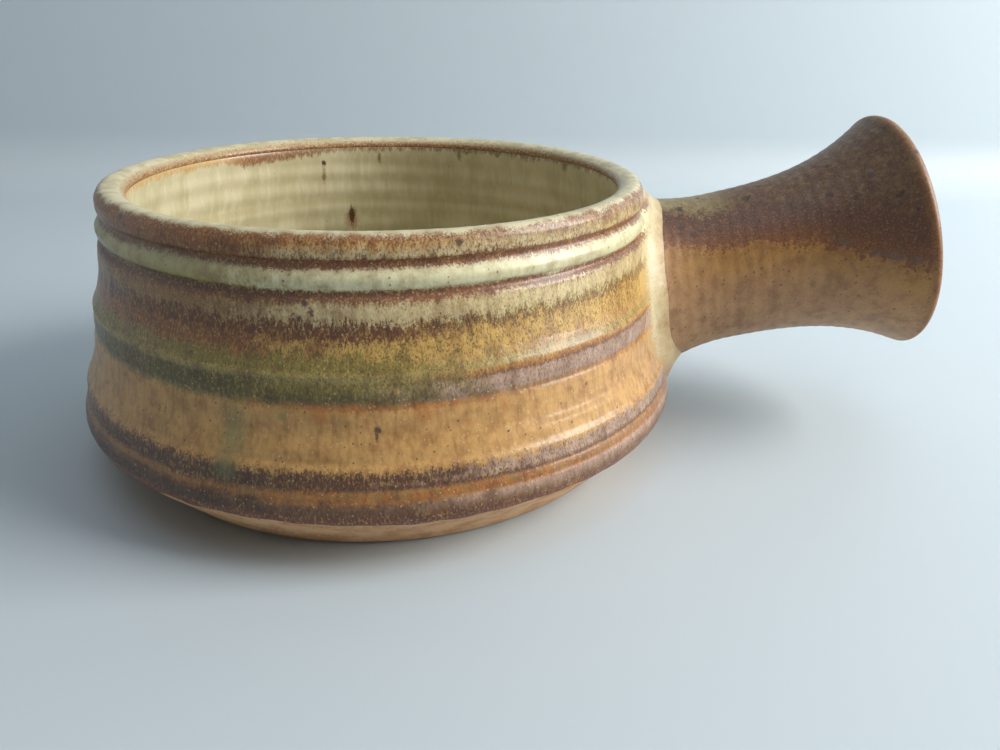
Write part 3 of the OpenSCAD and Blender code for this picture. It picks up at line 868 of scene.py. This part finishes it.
# The joint: a roll of soft clay pressed into the seam between the handle and the wall and smoothed
# with a fingertip. Its pale strip is partly pale glaze gathered in the seam and partly a painted highlight.
roll_reach = 5.0 * mm
roll_turn = np.linspace(0, 2 * math.pi, 360, endpoint=False)[None, :]
root_r = on_handle(np.array(1 * mm), 0)[1]
swell = 1 + 0.035 * ripple(roll_turn, 0 * roll_turn, 51, 5, 0)
curve_t = np.linspace(0, 1, 22)[:, None]
waist = 0.9 * mm
sink_in_wall, sink_in_handle = 0.8 * mm, 0.6 * mm
off_wall = ((1 - curve_t) ** 2 * roll_reach + 2 * curve_t * (1 - curve_t) * waist) * swell
off_handle = (curve_t**2 * roll_reach + 2 * curve_t * (1 - curve_t) * waist) * swell
off_wall = off_wall - sink_in_wall * curve_t**2
off_handle = off_handle - sink_in_handle * (1 - curve_t) ** 2
bed_t = np.linspace(0, 1, 8)[1:-1, None]
bed_deep, bed_far = -0.7 * mm, roll_reach - 0.9 * mm
wall_bed = np.interp(bed_t, [0, 0.5, 1], [bed_deep, bed_deep, bed_far]) + 0 * roll_turn
handle_bed = np.interp(bed_t, [0, 0.5, 1], [bed_far, bed_deep, bed_deep]) + 0 * roll_turn
off_wall = np.concatenate([off_wall, wall_bed])
off_handle = np.concatenate([off_handle, handle_bed])
roll_r = root_r + off_handle
roll_x = wall_reach(roll_r, roll_turn, smoothed_r) + off_wall
flare_more = outer_at(roll_x) - root_r
roll_rings = round_handle(roll_x, roll_r + flare_more, roll_turn)
roll_seen = np.arange(len(roll_rings)) < 21
joint_roll = turned_mesh("joint_roll", roll_rings, "loop", roll_seen, 4)


def roll_finish():
    f = Finish("joint_glaze_and_highlight")
    blotch = f.cloud(2.4, detail=3, harsh=0.6)
    grain = f.cloud(0.4, detail=2, harsh=0.6, shift=3)
    z = f.split(f.place)[2]
    reach = f.vector("SUBTRACT", f.place, tuple(root_point / mm))
    x = f.vector("DOT_PRODUCT", reach, tuple(axis))
    up = f.vector("DOT_PRODUCT", reach, tuple(upward))
    side = f.vector("DOT_PRODUCT", reach, tuple(sideways))
    wide = f.sum("SQRT", f.sum("MULTIPLY_ADD", up, up, f.sum("MULTIPLY", side, side)))
    across = f.sum("SUBTRACT", f.sum("MULTIPLY_ADD", x, 0.36, wide), float(root_r / mm) - 0.2)
    across = f.sum("ADD", across, f.sum("ADD", f.swing(blotch, 0.5), f.swing(grain, 0.4)))
    sway = f.swing(f.cloud(0.5, stretch=3, detail=2, shift=3), 1.0)
    # The roll takes its bands from the right side, painted highlights and all.
    bands = f.ramp(f.sum("ADD", z, sway), 0, 60, right_look_and_highlight)
    # The pale middle of the strip: glaze gathered in the seam, with a painted highlight on it.
    glaze_pool_and_highlight = f.ramp(across, -1, 4, [
        (-0.4, paint(158, 122, 76)), (0.5, paint(196, 170, 122)), (1.2, paint(214, 198, 156)),
        (2.2, paint(198, 174, 124)),
    ])
    colour = f.blend(f.sum("MULTIPLY", f.ease(across, 1.4, 2.8), 0.85), glaze_pool_and_highlight, bands)
    low = f.sum("SUBTRACT", 1.0, f.ease(z, 18, 34))
    colour = f.blend(f.sum("MULTIPLY", low, 0.55), colour, paint(186, 148, 98))
    colour = f.blend(f.sum("MULTIPLY", f.ease(grain, 0.56, 0.66), 0.3), colour, paint(150, 108, 66))
    return f.done(colour, 0.38, f.relief(f.cloud(0.8), 0.03 * mm), coat=0.1)


joint_roll.data.materials.append(roll_finish())
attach(joint_roll, "root")
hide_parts("joint_fillet")

def background_rays(tree):
    """1 for the rays that show the background: to the camera, in a gloss or through a piece"""
    path = tree.nodes.new("ShaderNodeLightPath")
    share = path.outputs["Is Camera Ray"]
    for kind in ("Is Glossy Ray", "Is Transmission Ray"):
        either = tree.nodes.new("ShaderNodeMath")
        either.operation = "MAXIMUM"
        tree.links.new(share, either.inputs[0])
        tree.links.new(path.outputs[kind], either.inputs[1])
        share = either.outputs[0]
    return share


# The table and the sheet behind it: one plain pale sweep, with a soft fold behind the bowl.
sweep_half = 3.0
fold_at = 0.285
fold_r = 0.03
sweep_line = [(-sweep_half, 0.0), (fold_at - fold_r, 0.0)]
sweep_line += [
    (fold_at - fold_r + fold_r * math.sin(a), fold_r - fold_r * math.cos(a))
    for a in np.radians(range(10, 91, 10))
]
sweep_line += [(fold_at, 2.4)]
sweep_points = [(x, y, z) for y, z in sweep_line for x in (-sweep_half, sweep_half)]
sweep_faces = [(2 * i, 2 * i + 1, 2 * i + 3, 2 * i + 2) for i in range(len(sweep_line) - 1)]
sweep_mesh = bpy.data.meshes.new("sweep")
sweep_mesh.from_pydata(sweep_points, [], sweep_faces)
sweep_mesh.shade_smooth()
sweep = bpy.data.objects.new("sweep", sweep_mesh)
bpy.context.collection.objects.link(sweep)
sheet_paint = bpy.data.materials.new("pale_sheet")
sheet_paint.use_nodes = True
sheet_shader = sheet_paint.node_tree.nodes["Principled BSDF"]
sheet_shader.inputs["Base Color"].default_value = paint(194, 205, 212)
sheet_shader.inputs["Roughness"].default_value = 0.55
sheet = sheet_paint.node_tree
spot = sheet.nodes.new("ShaderNodeTexCoord")
reach = sheet.nodes.new("ShaderNodeVectorMath")
reach.operation = "LENGTH"
sheet.links.new(spot.outputs["Object"], reach.inputs[0])
far = sheet.nodes.new("ShaderNodeMapRange")
far.interpolation_type = "SMOOTHSTEP"
far.inputs["From Min"].default_value = 0.45
far.inputs["From Max"].default_value = 1.1
sheet.links.new(reach.outputs["Value"], far.inputs["Value"])
seen_far = sheet.nodes.new("ShaderNodeMath")
seen_far.operation = "MULTIPLY"
sheet.links.new(far.outputs[0], seen_far.inputs[0])
sheet.links.new(background_rays(sheet), seen_far.inputs[1])
haze = sheet.nodes.new("ShaderNodeEmission")
haze.inputs["Color"].default_value = paint(204, 214, 220)
paler = sheet.nodes.new("ShaderNodeMixShader")
sheet.links.new(seen_far.outputs[0], paler.inputs[0])
sheet.links.new(sheet_shader.outputs[0], paler.inputs[1])
sheet.links.new(haze.outputs[0], paler.inputs[2])
sheet.links.new(paler.outputs[0], sheet.nodes["Material Output"].inputs["Surface"])
sweep_mesh.materials.append(sheet_paint)

# Soft studio light: a wide window to the right and a little to the front, a dim light overhead,
# and a faint pale room all round, which shows at full strength only as the background.
world = bpy.data.worlds.new("room")
bpy.context.scene.world = world
world.use_nodes = True
room = world.node_tree
light_air = room.nodes["Background"]
light_air.inputs["Color"].default_value = paint(226, 230, 230)
light_air.inputs["Strength"].default_value = 0.15
seen_air = room.nodes.new("ShaderNodeBackground")
seen_air.inputs["Color"].default_value = paint(204, 214, 220)
air = room.nodes.new("ShaderNodeMixShader")
room.links.new(background_rays(room), air.inputs[0])
room.links.new(light_air.outputs[0], air.inputs[1])
room.links.new(seen_air.outputs[0], air.inputs[2])
room.links.new(air.outputs[0], room.nodes["World Output"].inputs["Surface"])


def window(name, place, target, width, height, watts, colour):
    light = bpy.data.lights.new(name, "AREA")
    light.shape = "RECTANGLE"
    light.size, light.size_y = width, height
    light.energy = watts
    light.color = colour[:3]
    lamp = bpy.data.objects.new(name, light)
    lamp.location = place
    lamp.rotation_euler = (Vector(target) - Vector(place)).to_track_quat("-Z", "Y").to_euler()
    bpy.context.collection.objects.link(lamp)
    return lamp


window("right_window", (0.78, -0.12, 0.46), (0, 0, 0.03), 0.5, 0.6, 10.8, paint(255, 253, 248))
window("top_light", (0.1, -0.1, 1.0), (0, 0, 0.03), 1.0, 0.8, 2.4, paint(240, 246, 255))

# The camera stands where the photograph was taken from, a little above the bowl, facing it with
# the handle to the right.
camera_place = Vector((21.68, -179.78, 89.32)) * mm
heading, dip, tilt = (math.radians(a) for a in (88.391, 23.884, 0.824))
forward = Vector((math.cos(heading) * math.cos(dip), math.sin(heading) * math.cos(dip), -math.sin(dip)))
level = forward.cross(Vector((0, 0, 1))).normalized()
over = level.cross(forward)
right = math.cos(tilt) * level + math.sin(tilt) * over
top = math.cos(tilt) * over - math.sin(tilt) * level
lens = bpy.data.cameras.new("camera")
lens.sensor_width = 36
lens.sensor_fit = "HORIZONTAL"
lens.lens = 29.14
lens.clip_start = 0.01
camera = bpy.data.objects.new("camera", lens)
camera.matrix_world = Matrix.Translation(camera_place) @ Matrix((right, top, -forward)).transposed().to_4x4()
bpy.context.collection.objects.link(camera)
bpy.context.scene.camera = camera

bpy.context.scene.view_settings.view_transform = "Standard"
